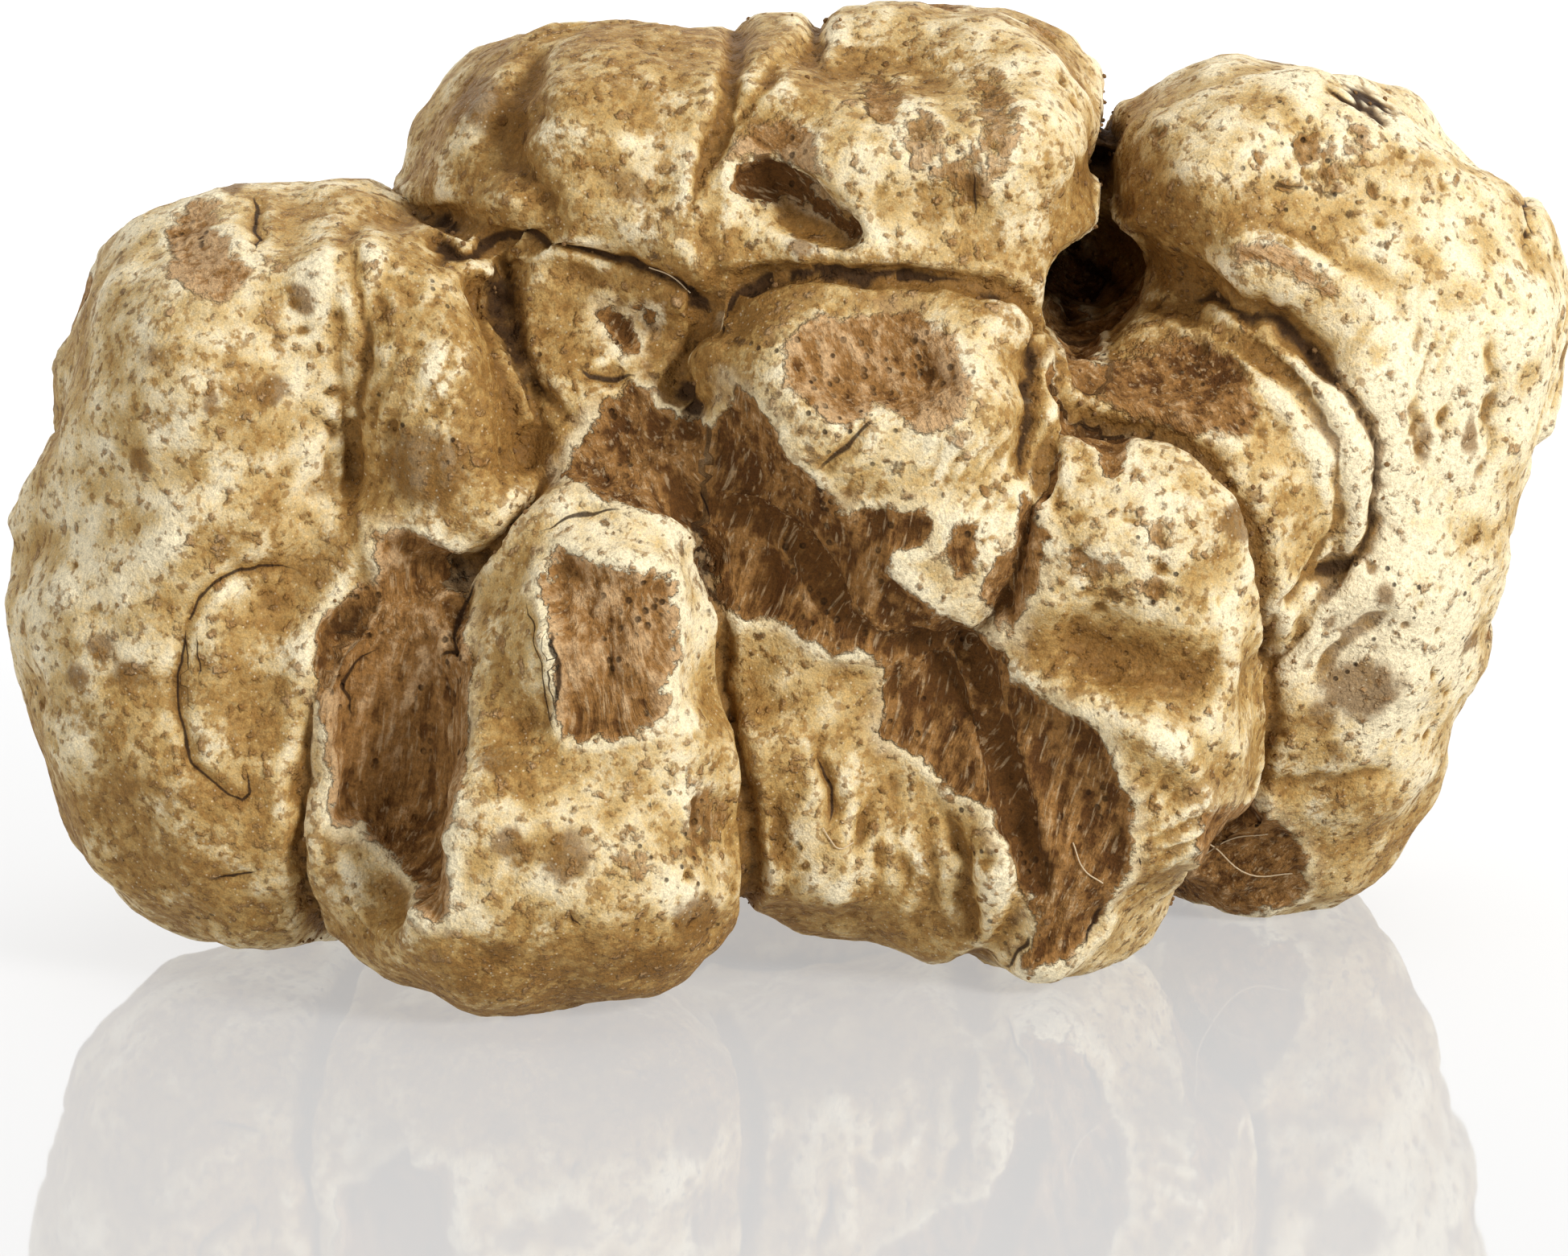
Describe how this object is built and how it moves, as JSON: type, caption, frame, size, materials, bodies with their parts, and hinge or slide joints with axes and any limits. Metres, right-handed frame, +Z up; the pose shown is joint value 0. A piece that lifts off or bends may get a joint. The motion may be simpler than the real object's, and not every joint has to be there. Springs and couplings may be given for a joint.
{
  "type": "white truffle",
  "caption": "Whole white truffle, one knotted body of rounded lobes pressed together, with deep creases and torn hollows, resting on small worn flats.",
  "frame": {"origin": "middle of the body's box, in the plane of the surface it rests on", "axes": "+X along its longest side, +Y away from the side with the torn valley and the two front feet, +Z up"},
  "size_m": [0.1093, 0.0647, 0.0656],
  "materials": {
    "truffle_skin": "matte"
  },
  "bodies": {
    "root": {"truffle": "truffle_skin"}
  },
  "joints": []
}
